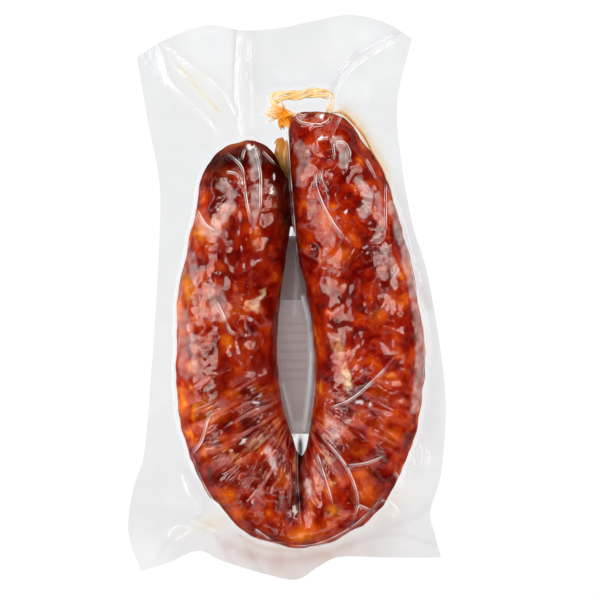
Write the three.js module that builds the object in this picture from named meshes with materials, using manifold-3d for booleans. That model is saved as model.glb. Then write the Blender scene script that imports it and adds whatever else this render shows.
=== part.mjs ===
// A horseshoe of cured sausage, vacuum packed in a clear film bag, lying on its back.
// One closed solid stands for the film bag drawn tight over the sausage and its twine,
// and a second one is the paper label under it. Millimetres, +Z up, +Y towards the tied ends.
import * as THREE from "three";
import { mergeVertices } from "three/addons/utils/BufferGeometryUtils.js";
import Module from "manifold-3d";

const wasm = await Module();
wasm.setup();

// Driving dimensions.
const FILM_THICKNESS = 0.9; // both welded films together, where they lie flat
const FLANGE_HEIGHT = 9.5; // the flat film's height beside the sausage
const VALLEY = { height: 1.5, x: 3.6, y: -15, half: [8, 15], long: [37, 48] }; // between the legs
const SECTION_POWER = 2.2; // 2 is an ellipse, more is squarer
const LEFT_CAP = 15; // length over which the left end rounds off
const RIGHT_CAP = 6;
const LUMP = 0.45; // depth of the coarse meat's lumps
const TWINE_DIAMETER = 2.4;
const KNOT_RADIUS = 2.6;
const FOLD_RADIUS = 0.8; // of the sharp crest along a doubled fold of the film
const FOLD_LIFT = 0.1;
const SIDE_WAVE = 2.5; // how far the film's long edges wave up and down
const END_WAVE = 3.2;
const LABEL = { width: 58, length: 68, thickness: 0.5, corner: 3, x: 4, y: -13 };
const CLEARANCE = 0.3;

// How fine the facets are.
const ROUND_THE_SAUSAGE = 24;
const ALONG_THE_SAUSAGE = 76;
const ACROSS_THE_FILM = 24;
const DOWN_THE_FILM = 40;
const TWINE_SIDES = 8;
const FOLD_SIDES = 4;
const FOLD_STEPS = 7;
const FLATNESS = 0.02; // facets this close to one plane are joined

// The sausage's spine from the left leg's tied end, round the kinked bend, to the right leg's:
// x, y and z of its middle, then half its width and half its height there.
const STATIONS = [
  [-12.4, 52.6, 11.5, 12.6, 12.0],
  [-13.9, 39.8, 13.2, 15.0, 14.0],
  [-15.6, 22.8, 14.3, 16.5, 15.0],
  [-19.7, -1.0, 14.6, 17.2, 15.2],
  [-20.4, -19.7, 14.6, 17.2, 15.2],
  [-19.0, -38.4, 14.6, 17.5, 15.2],
  [-15.0, -53.7, 14.4, 16.3, 15.0],
  [-8.5, -68.0, 13.9, 13.4, 14.0],
  [-2.0, -74.8, 13.2, 9.5, 12.5],
  [4.1, -76.8, 12.8, 7.5, 12.0],
  [10.9, -74.5, 13.2, 9.5, 12.5],
  [17.3, -67.7, 13.9, 13.3, 14.0],
  [22.8, -53.7, 14.6, 16.7, 15.2],
  [26.9, -38.4, 15.2, 18.0, 15.8],
  [27.9, -18.0, 15.4, 18.7, 16.0],
  [25.2, 2.4, 15.4, 18.4, 16.0],
  [20.7, 21.1, 15.2, 18.0, 15.8],
  [16.7, 41.5, 13.9, 15.8, 14.5],
  [11.9, 55.1, 12.2, 12.2, 12.0],
  [8.5, 63.2, 11.0, 9.4, 9.0],
];

// The bag's four edges, which the drawn film has made wavy.
const LEFT_EDGE = [
  [-49.6, -93.2], [-53.4, -83.0], [-54.0, -75.0], [-52.0, -63.9], [-48.6, -52.4],
  [-46.2, -24.0], [-44.8, -5.0], [-43.4, 22.0], [-43.6, 40.0], [-47.2, 58.5], [-51.3, 82.0],
];
const RIGHT_EDGE = [
  [52.4, -88.7], [50.4, -80.9], [48.8, -73.1], [52.4, -60.5], [54.0, -40.0],
  [52.7, -21.4], [47.9, 7.5], [43.0, 24.0], [39.4, 43.0], [37.5, 66.0], [42.5, 88.1],
];
const BOTTOM_EDGE = [
  [-49.6, -93.2], [-40.5, -90.4], [-30.3, -86.5], [-22.0, -90.0], [-8.0, -94.2],
  [3.0, -96.2], [10.5, -92.0], [18.0, -88.6], [34.0, -88.8], [52.4, -88.7],
];
const TOP_EDGE = [
  [-51.3, 82.0], [-40.5, 90.1], [-27.0, 92.6], [-15.0, 90.8], [-2.0, 91.8],
  [9.0, 94.2], [21.4, 96.2], [33.0, 93.6], [42.5, 88.1],
];

// Folds that the drawn film makes from its rim to the sausage: the line of the crest, how high
// the film swells under it, how far to each side, and whether it is doubled into a sharp crest.
const FOLDS = [
  { line: [[-20.9, 91.8], [-21.2, 74.0], [-18.6, 62.0], [-15.4, 52.0]], swell: 2.2, reach: 6, doubled: true },
  { line: [[-44.2, 86.6], [-38.0, 72.0], [-26.0, 58.0], [-17.4, 51.0]], swell: 2.6, reach: 7, doubled: true },
  { line: [[41.2, 88.2], [25.0, 78.0], [17.8, 67.0], [14.0, 58.0]], swell: 3.0, reach: 8, doubled: true },
  { line: [[-50.5, -89.5], [-42.0, -78.0], [-33.0, -68.0]], swell: 2.0, reach: 7 },
  { line: [[51.5, -86.5], [44.0, -74.0], [36.0, -62.0]], swell: 2.2, reach: 7 },
];

// The twine: a loop from the knot at the right leg's end, across its top and down behind its
// outer side, and the short run that joins the left leg's end to it.
const KNOT = [0.6, 60.6, 12.0];
const TWINE_RUNS = [
  [
    [0.2, 61.5, 12.0], [-4.4, 64.0, 11.4], [-5.4, 67.4, 11.0], [1.0, 69.2, 11.0], [8.5, 70.2, 11.2],
    [14.6, 68.6, 11.2], [19.6, 62.2, 10.8], [25.0, 56.6, 10.6], [29.4, 50.0, 10.2], [31.0, 42.0, 9.8],
  ],
  [[-11.0, 50.0, 11.0], [-6.5, 52.4, 11.0], [-3.0, 52.8, 10.6], [0.5, 50.0, 10.4], [4.0, 46.0, 10.4]],
];

const smooth = (from, to, v) => THREE.MathUtils.smoothstep(v, from, to);
const curveOf = (points) =>
  new THREE.CatmullRomCurve3(points.map(([x, y, z = 0]) => new THREE.Vector3(x, y, z)), false, "catmullrom");

// A closed three.js geometry as a solid that can be cut and joined.
function solidOf(geometry) {
  const bare = geometry.clone();
  bare.deleteAttribute("normal");
  bare.deleteAttribute("uv");
  const merged = mergeVertices(bare, 1e-4);
  return new wasm.Manifold(
    new wasm.Mesh({
      numProp: 3,
      vertProperties: merged.attributes.position.array,
      triVerts: new Uint32Array(merged.index.array),
    }),
  );
}

function geometryOf(solid) {
  const { vertProperties, triVerts } = solid.getMesh();
  return new THREE.BufferGeometry()
    .setAttribute("position", new THREE.BufferAttribute(vertProperties, 3))
    .setIndex(new THREE.BufferAttribute(triVerts, 1));
}

function namedMesh(name, geometry, material) {
  const mesh = new THREE.Mesh(geometry, material);
  mesh.name = name;
  return mesh;
}

// Moves every vertex of a geometry to where place(vertex) says.
function reshaped(geometry, place) {
  const position = geometry.attributes.position;
  for (let i = 0; i < position.count; i++) {
    const to = place(new THREE.Vector3().fromBufferAttribute(position, i));
    position.setXYZ(i, to.x, to.y, to.z);
  }
  return geometry;
}

// The sausage: a sphere's rings laid along the spine, so its poles are the tied ends.
const spine = curveOf(STATIONS);
const girth = curveOf(STATIONS.map(([, , , width, height]) => [width, height, 0]));
const spineLength = spine.getLength();

// How full the section is near the two ends, as a share of its width.
function capShare(t) {
  const fromLeft = Math.min(1, (t * spineLength) / LEFT_CAP);
  const fromRight = Math.min(1, ((1 - t) * spineLength) / RIGHT_CAP);
  const round = (s) => Math.sqrt(Math.max(0, 1 - (1 - s) ** 2));
  return round(fromLeft) * round(fromRight);
}

// The lumps of coarse meat under the film, as a smooth repeatable ripple from -1 to 1: rings
// that bend as they go round, crossed by lumps a few millimetres wide.
const lumps = (t, angle) =>
  0.5 * Math.sin(61 * t + 2.2 * Math.sin(2 * angle)) +
  0.5 * Math.sin(3 * angle + 83 * t) * Math.cos(5 * angle - 37 * t);

function sausagePoint(v) {
  const t = Math.acos(THREE.MathUtils.clamp(v.y, -1, 1)) / Math.PI;
  const angle = Math.atan2(v.z, v.x);
  const middle = spine.getPoint(t);
  const along = spine.getTangent(t).setZ(0).normalize();
  const aside = new THREE.Vector3(-along.y, along.x, 0);
  const size = girth.getPoint(t);
  const share = capShare(t);
  const swell = share * LUMP * lumps(t, angle);
  const squared = (c) => Math.sign(c) * Math.abs(c) ** (2 / SECTION_POWER);
  const out = squared(Math.cos(angle)) * (size.x * share + swell);
  const up = squared(Math.sin(angle)) * (size.y * share + swell);
  const at = middle.addScaledVector(aside, out);
  at.z = Math.max(0, at.z + up);
  return at;
}

const sausage = () =>
  solidOf(reshaped(new THREE.SphereGeometry(1, ROUND_THE_SAUSAGE, ALONG_THE_SAUSAGE), sausagePoint));

// The welded film: a thin slab whose four sides follow the bag's edges.
const edges = {
  left: curveOf(LEFT_EDGE),
  right: curveOf(RIGHT_EDGE),
  bottom: curveOf(BOTTOM_EDGE),
  top: curveOf(TOP_EDGE),
};

// A point of the film's plan, from how far across it is (u) and how far up (v), both 0 to 1.
function filmPlan(u, v) {
  const mix = (a, b, s) => a.clone().lerp(b, s);
  const sides = mix(edges.left.getPoint(v), edges.right.getPoint(v), u);
  const ends = mix(edges.bottom.getPoint(u), edges.top.getPoint(u), v);
  const low = mix(edges.bottom.getPoint(0), edges.bottom.getPoint(1), u);
  const high = mix(edges.top.getPoint(0), edges.top.getPoint(1), u);
  return sides.add(ends).sub(mix(low, high, v));
}

const foldLines = FOLDS.map((fold) => ({ ...fold, points: curveOf(fold.line).getPoints(FOLD_STEPS) }));

// How far a place is from a fold's crest, measured to its straight pieces.
function distanceTo(points, x, y) {
  const here = new THREE.Vector3(x, y, 0);
  const near = new THREE.Vector3();
  const pieces = points.slice(1).map((end, i) => new THREE.Line3(points[i], end));
  return Math.min(...pieces.map((piece) => piece.closestPointToPoint(here, true, near).distanceTo(here)));
}

// The film's height: flat beside the sausage, drawn down between its legs, wavy at the rim,
// and swollen under each fold.
function filmHeight(x, y) {
  const across = x / 50;
  const up = y / 94;
  const inside = 1 - smooth(...VALLEY.half, Math.abs(x - VALLEY.x));
  const along = 1 - smooth(...VALLEY.long, Math.abs(y - VALLEY.y));
  const level = THREE.MathUtils.lerp(FLANGE_HEIGHT, VALLEY.height, inside * along);
  const sideRipple = across < 0 ? Math.sin(0.055 * y + 0.4) : Math.sin(0.048 * y + 2.9);
  const endRipple = up < 0 ? Math.sin(0.13 * x + 1.4) : Math.sin(0.105 * x + 4.0);
  const waves = SIDE_WAVE * across ** 4 * sideRipple + END_WAVE * Math.abs(up) ** 5 * endRipple;
  const swells = foldLines.map(
    ({ points, swell, reach }) => swell * Math.exp(-((distanceTo(points, x, y) / reach) ** 2)),
  );
  return level + waves + Math.max(...swells);
}

function filmPoint(p) {
  const plan = filmPlan(p.x + 0.5, p.y + 0.5);
  return plan.setZ(filmHeight(plan.x, plan.y) + p.z * FILM_THICKNESS);
}

const film = () =>
  solidOf(reshaped(new THREE.BoxGeometry(1, 1, 1, ACROSS_THE_FILM, DOWN_THE_FILM, 1), filmPoint));

// The sharp crests of the folds, and the twine under the film.
function roundBar(path, radius, sides, steps) {
  const section = new THREE.Shape().absarc(0, 0, radius, 0, 2 * Math.PI);
  return solidOf(new THREE.ExtrudeGeometry(section, { extrudePath: path, steps, curveSegments: sides }));
}

function foldCrest({ points }) {
  const crest = points.map(({ x, y }) => [x, y, filmHeight(x, y) + FOLD_LIFT]);
  return roundBar(curveOf(crest), FOLD_RADIUS, FOLD_SIDES, FOLD_STEPS);
}

const twineRun = (run) => roundBar(curveOf(run), TWINE_DIAMETER / 2, TWINE_SIDES, 3 * run.length);
const knot = () => solidOf(new THREE.SphereGeometry(KNOT_RADIUS, 10, 6).translate(...KNOT));

// The label, let into the bag's underside. Grown by the clearance it is the recess cut for it.
function labelGeometry(grow) {
  const { width, length, thickness, corner: r, x, y } = LABEL;
  const w = width / 2 + grow;
  const h = length / 2 + grow;
  const outline = new THREE.Shape();
  outline.absarc(w - r, h - r, r, 0, Math.PI / 2);
  outline.absarc(r - w, h - r, r, Math.PI / 2, Math.PI);
  outline.absarc(r - w, r - h, r, Math.PI, 1.5 * Math.PI);
  outline.absarc(w - r, r - h, r, 1.5 * Math.PI, 2 * Math.PI);
  const below = grow ? 1 : 0;
  const depth = thickness + grow + below;
  const plate = new THREE.ExtrudeGeometry(outline, { depth, bevelEnabled: false, curveSegments: 4 });
  return plate.translate(x, y, -below);
}

const underFilm = [knot(), ...TWINE_RUNS.map(twineRun), ...foldLines.filter((f) => f.doubled).map(foldCrest)];
const bagSolid = underFilm
  .reduce((whole, piece) => whole.add(piece), sausage().add(film()))
  .subtract(solidOf(labelGeometry(CLEARANCE)))
  .simplify(FLATNESS);

const curedMeat = new THREE.MeshStandardMaterial({ color: 0x9c2a0e, roughness: 0.25, metalness: 0 });
const labelPaper = new THREE.MeshStandardMaterial({ color: 0xb4aaac, roughness: 0.6, metalness: 0 });

const pack = new THREE.Group();
pack.add(namedMesh("vacuum_bag", geometryOf(bagSolid), curedMeat));
pack.add(namedMesh("label", labelGeometry(0), labelPaper));

export default pack;
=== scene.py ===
# %% [markdown]
# A vacuum-packed horseshoe sausage
#
# The real thing is a coarse cured sausage, bent into a tight horseshoe, its two ends tied with
# one piece of twine, and sealed under vacuum in a clear film bag with a paper label at the back.
# Four pieces make its look: the sausage, the twine, the film and the label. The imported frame
# gives the sizes, and everything here is in its own place, in metres.

import bpy
import numpy as np
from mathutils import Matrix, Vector
from mathutils.bvhtree import BVHTree


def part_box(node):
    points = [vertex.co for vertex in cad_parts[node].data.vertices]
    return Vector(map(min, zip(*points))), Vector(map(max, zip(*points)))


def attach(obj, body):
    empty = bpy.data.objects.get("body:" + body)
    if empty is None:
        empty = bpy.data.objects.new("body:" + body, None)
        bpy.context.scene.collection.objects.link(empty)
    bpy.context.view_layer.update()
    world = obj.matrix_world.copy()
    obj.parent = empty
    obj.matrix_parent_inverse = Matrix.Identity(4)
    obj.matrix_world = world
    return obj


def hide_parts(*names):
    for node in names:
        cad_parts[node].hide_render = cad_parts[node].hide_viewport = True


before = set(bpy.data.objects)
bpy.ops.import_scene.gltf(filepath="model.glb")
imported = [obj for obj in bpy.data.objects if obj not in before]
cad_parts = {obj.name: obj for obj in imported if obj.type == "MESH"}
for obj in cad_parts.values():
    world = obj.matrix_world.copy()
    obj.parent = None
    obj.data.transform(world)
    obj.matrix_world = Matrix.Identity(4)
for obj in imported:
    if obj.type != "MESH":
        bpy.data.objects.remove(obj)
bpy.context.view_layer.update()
bpy.ops.object.select_all(action="DESELECT")
MM = 0.001
print("frame nodes:", sorted(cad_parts))

# %% [markdown]
# The camera looks straight down from far away through a long lens, as for a catalogue picture,
# so the sides of the pack hardly show. A short lens would make the sausage bulge at the middle.

# %% The camera
LENS = 180.0
SENSOR = 36.0
PICTURE_WIDTH = 204 * MM
PICTURE_CENTRE = Vector((4.4, -1.0, 12.0)) * MM
distance = PICTURE_WIDTH * LENS / SENSOR
bpy.ops.object.camera_add(location=PICTURE_CENTRE + Vector((0, 0, distance)), rotation=(0, 0, 0))
camera = bpy.context.object
camera.name = "Camera"
camera.data.lens = LENS
camera.data.sensor_width = SENSOR
bpy.context.scene.camera = camera
print("camera height", round(distance, 3), "m")

# %% [markdown]
# The pack lies on a white glowing table, so it throws no shadow, in a dark room with a long soft
# box on its left and a smaller one on its right. Wet film shows its shape only by what it
# mirrors: the two boxes give the pale patches, and the dark room leaves the red deep between.
# The world looks white to the camera alone, which is the backdrop in the views from the side.

# %% Nodes in a few words
WHITE = (1, 1, 1, 1)


def feed(tree, sockets, values):
    """Gives each input its value, or links it to the output that stands in the value's place."""
    for socket, value in zip(sockets, values):
        if isinstance(value, bpy.types.NodeSocket):
            tree.links.new(value, socket)
        else:
            socket.default_value = value


def add_node(tree, kind, settings=None, **inputs):
    """A new shader node with its settings, and a value or an output for each input that is named."""
    made = tree.nodes.new(kind)
    for key, value in (settings or {}).items():
        setattr(made, key, value)
    feed(tree, [made.inputs[key.replace("_", " ")] for key in inputs], inputs.values())
    return made


def calculate(tree, operation, *values, clamp=False):
    """One sum with outputs and numbers."""
    made = add_node(tree, "ShaderNodeMath", {"operation": operation, "use_clamp": clamp})
    feed(tree, made.inputs, values)
    return made.outputs[0]


def mix_shaders(tree, share, first, second):
    """A share of the second shader and the rest of the first."""
    made = tree.nodes.new("ShaderNodeMixShader")
    feed(tree, made.inputs, (share, first, second))
    return made.outputs[0]


def new_material(name):
    """An empty node material and its output node."""
    material = bpy.data.materials.new(name)
    material.use_nodes = True
    material.node_tree.nodes.clear()
    output = material.node_tree.nodes.new("ShaderNodeOutputMaterial")
    return material, material.node_tree, output


# %% The floor and the room
TABLE_GLOW = 1.02
GLOW_LOST_IN_MIRRORS = 0.7
ROOM_GLOW = 0.015
ROOM_ON_MATT_THINGS = 0.52

bpy.context.scene.view_settings.view_transform = "Standard"
bpy.ops.mesh.primitive_plane_add(size=6.0, location=(0, 0, -0.2 * MM))
floor = bpy.context.object
floor.name = "floor"
material, tree, output = new_material("glowing_table")
path = tree.nodes.new("ShaderNodeLightPath").outputs
strength = calculate(tree, "MULTIPLY_ADD", path["Is Glossy Ray"], -GLOW_LOST_IN_MIRRORS, TABLE_GLOW)
glow = add_node(tree, "ShaderNodeEmission", Color=WHITE, Strength=strength)
tree.links.new(glow.outputs[0], output.inputs["Surface"])
floor.data.materials.append(material)

world = bpy.data.worlds.new("studio")
bpy.context.scene.world = world
world.use_nodes = True
tree = world.node_tree
tree.nodes.clear()
output = tree.nodes.new("ShaderNodeOutputWorld")
path = tree.nodes.new("ShaderNodeLightPath").outputs
strength = calculate(tree, "MULTIPLY_ADD", path["Is Diffuse Ray"], ROOM_ON_MATT_THINGS, ROOM_GLOW)
room = add_node(tree, "ShaderNodeBackground", Color=WHITE, Strength=strength)
seen = add_node(tree, "ShaderNodeBackground", Color=WHITE, Strength=1.0)
sky = mix_shaders(tree, path["Is Camera Ray"], room.outputs[0], seen.outputs[0])
tree.links.new(sky, output.inputs["Surface"])
print("a white table and a dark room that looks white to the camera")


# %% The lights
def soft_box(name, place, width, height, watts):
    """An oval area light that faces the pack."""
    bpy.ops.object.light_add(type="AREA", location=place)
    box = bpy.context.object
    box.name = name
    box.data.shape = "ELLIPSE"
    box.data.size = width
    box.data.size_y = height
    box.data.energy = watts
    box.rotation_euler = (-Vector(place)).to_track_quat("-Z", "Y").to_euler()
    return box


soft_box("left_box", (-0.75, 0.05, 0.72), 0.66, 1.05, 6.5)
soft_box("right_box", (0.72, 0.30, 0.70), 0.45, 0.70, 3.2)
soft_box("front_box", (0.05, -0.95, 0.60), 1.1, 0.45, 1.6)
soft_box("back_box", (-0.10, 0.95, 0.70), 1.1, 0.40, 1.2)
soft_box("left_lamp", (-0.42, 0.45, 0.95), 0.06, 0.22, 0.22)
soft_box("right_lamp", (0.50, -0.30, 0.90), 0.06, 0.22, 0.15)
fill = soft_box("fill", (0.0, 0.1, 1.6), 1.0, 1.0, 8.4)
fill.visible_glossy = False
print("four soft boxes, two small lamps and a fill light that the film doesn't mirror")

# %% [markdown]
# The sausage is a filled casing, so it is one long tube whose width changes along a bent line.
# A ball is the best start: its two poles become the tied ends and its rings are laid along the
# line, evenly spaced by length. A voxel remesh then welds the two legs where they press
# together at the bend, and leaves small even faces for the lumps.

# %% The sausage's bent line
# Each station is x, y, z, half width and half height, in millimetres.
STATIONS = [
    (-10.2, 52.8, 11.5, 12.2, 12), (-13.7, 39.8, 13.2, 14.8, 14), (-15.6, 22.8, 14.3, 16.5, 15),
    (-19.7, -1, 14.6, 17.2, 15.2), (-20.4, -19.7, 14.6, 17.2, 15.2), (-19, -38.4, 14.6, 17.5, 15.2),
    (-14.2, -53.7, 14.4, 17.3, 15), (-10, -61.9, 14.2, 16.2, 14.6), (-6.5, -69.9, 13.8, 13.4, 13.8),
    (-2, -74.8, 13.2, 9.5, 12.5), (4.1, -77.3, 12.8, 7.8, 12), (10.9, -74.5, 13.2, 9.5, 12.5),
    (14.4, -70, 13.8, 13.3, 13.8), (19.2, -62, 14.2, 15.9, 14.6), (22.8, -53.7, 14.6, 16.7, 15.2),
    (26.9, -38.4, 15.2, 18, 15.8), (27.9, -18, 15.4, 18.7, 16), (25.2, 2.4, 15.4, 18.4, 16),
    (20.9, 21.1, 15.2, 17.9, 15.8), (17, 38.4, 14.2, 16.2, 14.8), (13.9, 49.3, 13, 13.1, 13),
    (11.6, 56.8, 12, 10.9, 11.2), (9.3, 63.2, 11.4, 8.5, 9),
]


def smooth_line(points, t):
    """Points at t, from 0 to 1, on the smooth line that passes through points."""
    p = np.array(points, float)
    p = np.vstack([2 * p[0] - p[1], p, 2 * p[-1] - p[-2]])
    s = np.clip(np.asarray(t, float), 0, 1) * (len(points) - 1)
    i = np.minimum(s.astype(int), len(points) - 2)
    f = (s - i)[:, None]
    a, b, c, d = p[i], p[i + 1], p[i + 2], p[i + 3]
    return b + 0.5 * f * (c - a + f * (2 * a - 5 * b + 4 * c - d + f * (3 * (b - c) + d - a)))


def even_line(points, count):
    """count points on the same line, evenly spaced by length, and that length."""
    dense = smooth_line(points, np.linspace(0, 1, 3000))
    steps = np.linalg.norm(np.diff(dense[:, :3], axis=0), axis=1)
    length = np.concatenate([[0], np.cumsum(steps)])
    share = np.linspace(0, length[-1], count)
    return np.stack([np.interp(share, length, column) for column in dense.T], axis=1), length[-1]


def coordinates(mesh):
    """The mesh's points as rows of x, y, z."""
    flat = np.empty(3 * len(mesh.vertices))
    mesh.vertices.foreach_get("co", flat)
    return flat.reshape(-1, 3)


def set_coordinates(mesh, points):
    """Puts the mesh's points there."""
    mesh.vertices.foreach_set("co", np.asarray(points, np.float32).ravel())
    mesh.update()


# %% Measures on the plan
LINE_POINTS = 24


def distance_to(line, plan, reach):
    """How far each point of the plan is from the line, and how far along it, up to reach."""
    dense, _ = even_line(line, LINE_POINTS)
    away = np.full(len(plan), 1e3)
    share = np.zeros(len(plan))
    low, high = dense.min(axis=0) - reach, dense.max(axis=0) + reach
    near = np.flatnonzero(((plan > low) & (plan < high)).all(axis=1))
    for step in range(len(dense) - 1):
        start, way = dense[step], dense[step + 1] - dense[step]
        s = np.clip((plan[near] - start) @ way / (way @ way), 0, 1)
        d = np.linalg.norm(plan[near] - start - s[:, None] * way, axis=1)
        closer = d < away[near]
        away[near[closer]] = d[closer]
        share[near[closer]] = (step + s[closer]) / (len(dense) - 1)
    return away, share


def smooth_step(low, high, value):
    """0 below low and 1 above high, with a soft rise between."""
    s = np.clip((value - low) / (high - low), 0, 1)
    return s * s * (3 - 2 * s)


def noise(plan, size, seed, angle=0.0, stretch=1.0):
    """Smooth random heights from about -1 to 1, in bumps of this size, longer along an angle."""
    slope = np.random.default_rng(seed).uniform(0, 2 * np.pi, (256, 256))
    c, s = np.cos(angle), np.sin(angle)
    gx = (plan[:, 0] * c + plan[:, 1] * s) / (size * stretch) + 100
    gy = (plan[:, 1] * c - plan[:, 0] * s) / size + 100
    ix, iy = np.floor(gx).astype(int), np.floor(gy).astype(int)
    fx, fy = gx - ix, gy - iy
    total = np.zeros(len(plan))
    for a in (0, 1):
        for b in (0, 1):
            turn = slope[(ix + a) % 256, (iy + b) % 256]
            dx, dy = fx - a, fy - b
            near_x, near_y = 1 - abs(dx), 1 - abs(dy)
            weight = near_x**2 * (3 - 2 * near_x) * near_y**2 * (3 - 2 * near_y)
            total += weight * (np.cos(turn) * dx + np.sin(turn) * dy)
    return 1.7 * total


def swirled(plan, size, seed, push):
    """The plan, pushed about by noise, so that what is drawn on it curls."""
    return plan + push * np.column_stack([noise(plan, size, seed), noise(plan, size, seed + 1)])


def spot(plan, centre, wide, high, angle=0.0):
    """A soft oval field round a centre, 1 in its middle."""
    c, s = np.cos(angle), np.sin(angle)
    x, y = plan[:, 0] - centre[0], plan[:, 1] - centre[1]
    return np.exp(-(((x * c + y * s) / wide) ** 2) - ((y * c - x * s) / high) ** 2)


def beside(plan, line, reach):
    """A soft band along a line, 1 on it."""
    return np.exp(-((distance_to(line, plan, 3 * reach)[0] / reach) ** 2))


# %% Where the bent leg is wrinkled
FAN_CENTRE = (3.0, -36.5)
FAN_REACH = 25.0
FAN_TURN = np.radians(62)


def fan_frame(plan):
    """Measures across and along the wrinkles, and how strong they are, for each point.

    They spread like rays from inside the horseshoe, and run side by side further up the legs.
    """
    x, y = plan[:, 0] - FAN_CENTRE[0], plan[:, 1] - FAN_CENTRE[1]
    out = np.hypot(x, y)
    angle = np.arctan2(abs(x), -y)
    turned = np.minimum(angle, FAN_TURN)
    past = np.where(angle > FAN_TURN, out * np.sin(angle - FAN_TURN), 0)
    across = np.sign(x) * (FAN_REACH * turned + past)
    window = smooth_step(4, 10, out) * (1 - 0.7 * smooth_step(26, 42, out))
    window = window * smooth_step(22, 34, -plan[:, 1]) * np.where(x < 0, 1.0, 0.65)
    return across, out, window * np.clip(0.75 + 0.8 * noise(plan, 8, 43), 0.1, 1)


# %% The sausage from a ball
RINGS = 420
AROUND = 128
SECTION_POWER = 2.2
LEFT_CAP = 16.0
RIGHT_CAP = 3.0
LEVEL_REACH = 22.0
LOWEST_MEAT = 0.8
VOXEL = 0.65

bpy.ops.mesh.primitive_uv_sphere_add(segments=AROUND, ring_count=RINGS, radius=1.0)
sausage = bpy.context.object
sausage.name = "sausage"
ball = coordinates(sausage.data)
line, spine_length = even_line(STATIONS, RINGS + 1)
ring = np.rint(np.arccos(np.clip(ball[:, 2], -1, 1)) / np.pi * RINGS).astype(int)
turn = np.arctan2(ball[:, 1], ball[:, 0])
along = np.gradient(line[:, :2], axis=0)
along /= np.linalg.norm(along, axis=1)[:, None]
level_end = np.clip((np.arange(RINGS + 1) / RINGS - 1) * spine_length / LEVEL_REACH + 1, 0, 1)[:, None]
along = (1 - level_end) * along + level_end * np.array([0, 1])
along /= np.linalg.norm(along, axis=1)[:, None]
from_left = np.clip(np.arange(RINGS + 1) / RINGS * spine_length / LEFT_CAP, 0, 1)
from_right = np.clip((1 - np.arange(RINGS + 1) / RINGS) * spine_length / RIGHT_CAP, 0, 1)
cap = np.sqrt(1 - (1 - from_left) ** 2) * np.sqrt(1 - (1 - from_right) ** 2)


def squared(c):
    """A sine or cosine for a round section that is a little square."""
    return np.sign(c) * np.abs(c) ** (2 / SECTION_POWER)


out = squared(np.cos(turn)) * line[ring, 3] * cap[ring]
up = squared(np.sin(turn)) * line[ring, 4] * cap[ring]
points = np.stack(
    [
        line[ring, 0] - along[ring, 1] * out,
        line[ring, 1] + along[ring, 0] * out,
        line[ring, 2] + up,
    ],
    axis=1,
)
set_coordinates(sausage.data, points * MM)
print("sausage spine", round(spine_length), "mm")

# %% Weld the legs, then raise the lumps of coarse meat
sausage.data.remesh_voxel_size = VOXEL * MM
bpy.ops.object.voxel_remesh()


def apply_modifier(piece, kind, **settings):
    """Adds a modifier to the piece with these settings and applies it."""
    bpy.context.view_layer.objects.active = piece
    modifier = piece.modifiers.new(kind.lower(), kind)
    for key, value in settings.items():
        setattr(modifier, key, value)
    bpy.ops.object.modifier_apply(modifier=modifier.name)


def relief(piece, name, kind, size, strength, **settings):
    """Moves the surface out and in by a three-dimensional texture of bumps of this size."""
    texture = bpy.data.textures.new(name, kind)
    texture.noise_scale = size * MM
    for key, value in settings.items():
        setattr(texture, key, value)
    apply_modifier(piece, "DISPLACE", texture=texture, strength=strength * MM, mid_level=0.5,
                   texture_coords="LOCAL")


apply_modifier(sausage, "SMOOTH", factor=0.5, iterations=4)
relief(sausage, "uneven_girth", "CLOUDS", 15, 1.1)
relief(sausage, "chunks", "VORONOI", 6.5, -0.8, noise_intensity=1.0)
relief(sausage, "bits", "CLOUDS", 2.6, 0.25)
apply_modifier(sausage, "SMOOTH", factor=0.5, iterations=2)
CREASE = [(4.6, -50.5), (4.1, -56.0), (3.9, -63.0), (4.2, -71.0)]
CREASE_DEPTH = 1.6
points = coordinates(sausage.data) / MM
in_crease = beside(points[:, :2], CREASE, 0.9) * (points[:, 2] > 16)
points[:, 2] = np.maximum(points[:, 2] - CREASE_DEPTH * in_crease, LOWEST_MEAT)
set_coordinates(sausage.data, points * MM)
bpy.ops.object.shade_smooth()
print("sausage", len(sausage.data.polygons), "faces, height", round(points[:, 2].max(), 1), "mm")

# %% [markdown]
# Coarse paprika sausage is chunks of lean meat, from deep red to nearly black, with bits of fat
# that the paprika has stained from orange to cream. Voronoi cells are the chunks: each cell's
# random number picks its colour from a ramp, and bending the coordinates first with noise gives
# the ragged outlines that a grinder leaves. The casing over it is smooth, and only blurs them.


# %% Colours and patterns in nodes
def ramp(tree, share, stops, interpolation="LINEAR"):
    """The colour for this share on a ramp with these (position, colour) stops."""
    made = add_node(tree, "ShaderNodeValToRGB", Fac=share)
    made.color_ramp.interpolation = interpolation
    while len(made.color_ramp.elements) < len(stops):
        made.color_ramp.elements.new(0.5)
    for element, (position, colour) in zip(made.color_ramp.elements, stops):
        element.position = position
        element.color = (*colour, 1)
    return made.outputs[0]


def millimetres(tree):
    """Object coordinates in millimetres."""
    place = tree.nodes.new("ShaderNodeTexCoord").outputs["Object"]
    return add_node(tree, "ShaderNodeMapping", Vector=place, Scale=(1000, 1000, 1000)).outputs[0]


def cloud(tree, place, scale, detail, roughness=0.5, distortion=0.0):
    """Noise at this place, in bumps of about 1 / scale millimetres."""
    made = add_node(tree, "ShaderNodeTexNoise", Vector=place, Scale=scale, Detail=detail,
                    Roughness=roughness, Distortion=distortion)
    return made.outputs[0]


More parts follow.
